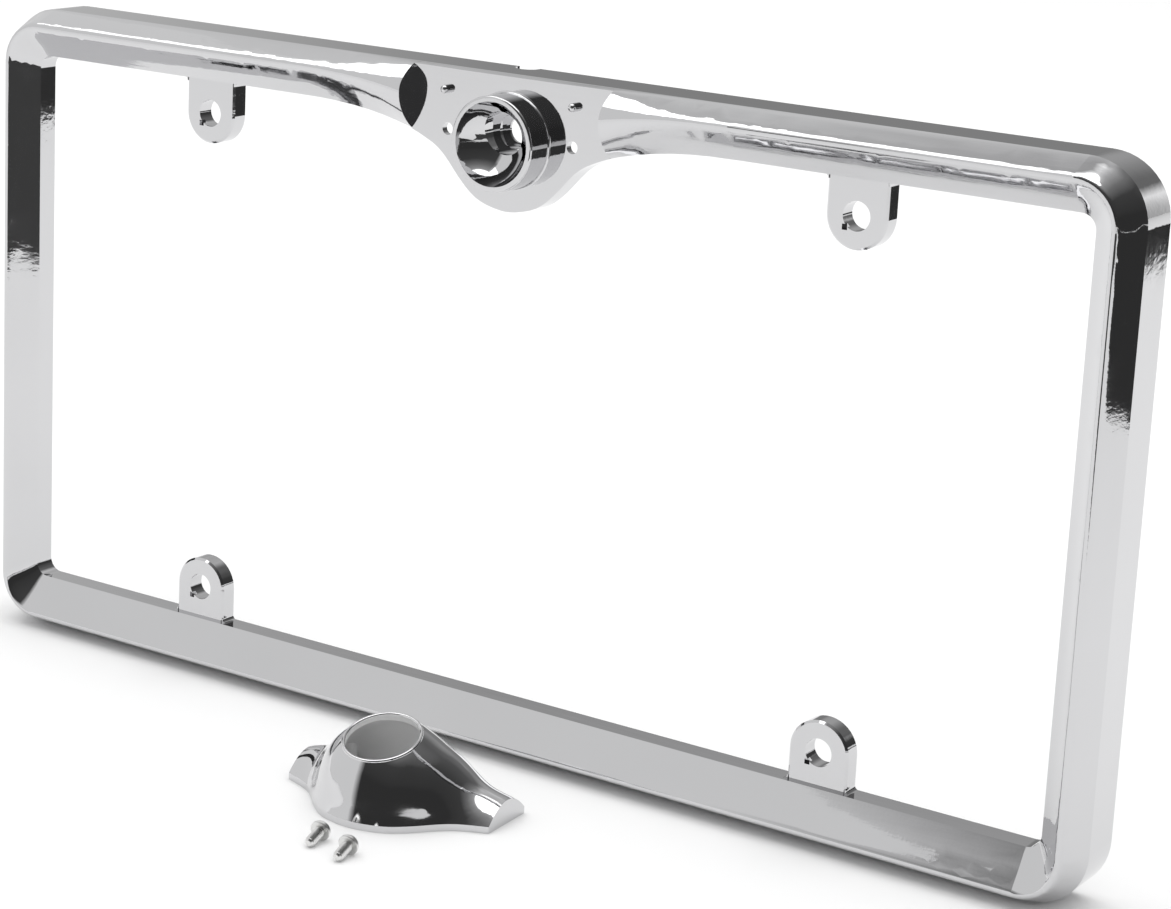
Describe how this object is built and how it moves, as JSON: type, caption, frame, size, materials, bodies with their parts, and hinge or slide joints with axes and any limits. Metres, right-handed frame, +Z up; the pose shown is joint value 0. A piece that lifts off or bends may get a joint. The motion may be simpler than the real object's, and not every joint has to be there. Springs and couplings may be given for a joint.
{
  "type": "licence plate frame with camera mount",
  "caption": "Chrome licence-plate frame with a rear camera cup in its top rail, a loose tilted camera cover and its small pan head screws.",
  "frame": {"origin": "centre of the four plate bolts, on the back face of the lugs, where the number plate lies", "axes": "+X along the frame, +Z up, -Y to the front, away from the vehicle"},
  "size_m": [0.3078, 0.0905, 0.1614],
  "materials": {
    "frame_chrome": "mirror polished plating, satin inside",
    "cover_chrome": "mirror polished plating, satin inside",
    "screw_plated": "bright zinc plating"
  },
  "bodies": {
    "frame": {"frame": "frame_chrome"},
    "cover": {"cover": "cover_chrome"},
    "screw_left": {"screw_left": "screw_plated"},
    "screw_right": {"screw_right": "screw_plated"}
  },
  "joints": [
    {"name": "cover_lift", "type": "slide", "parent": "frame", "child": "cover", "axis": [0, 0, 1], "range_m": [0, 0.18]},
    {"name": "screw_left_lift", "type": "slide", "parent": "frame", "child": "screw_left", "axis": [0, 0, 1], "range_m": [0, 0.18]},
    {"name": "screw_right_lift", "type": "slide", "parent": "frame", "child": "screw_right", "axis": [0, 0, 1], "range_m": [0, 0.18]}
  ]
}
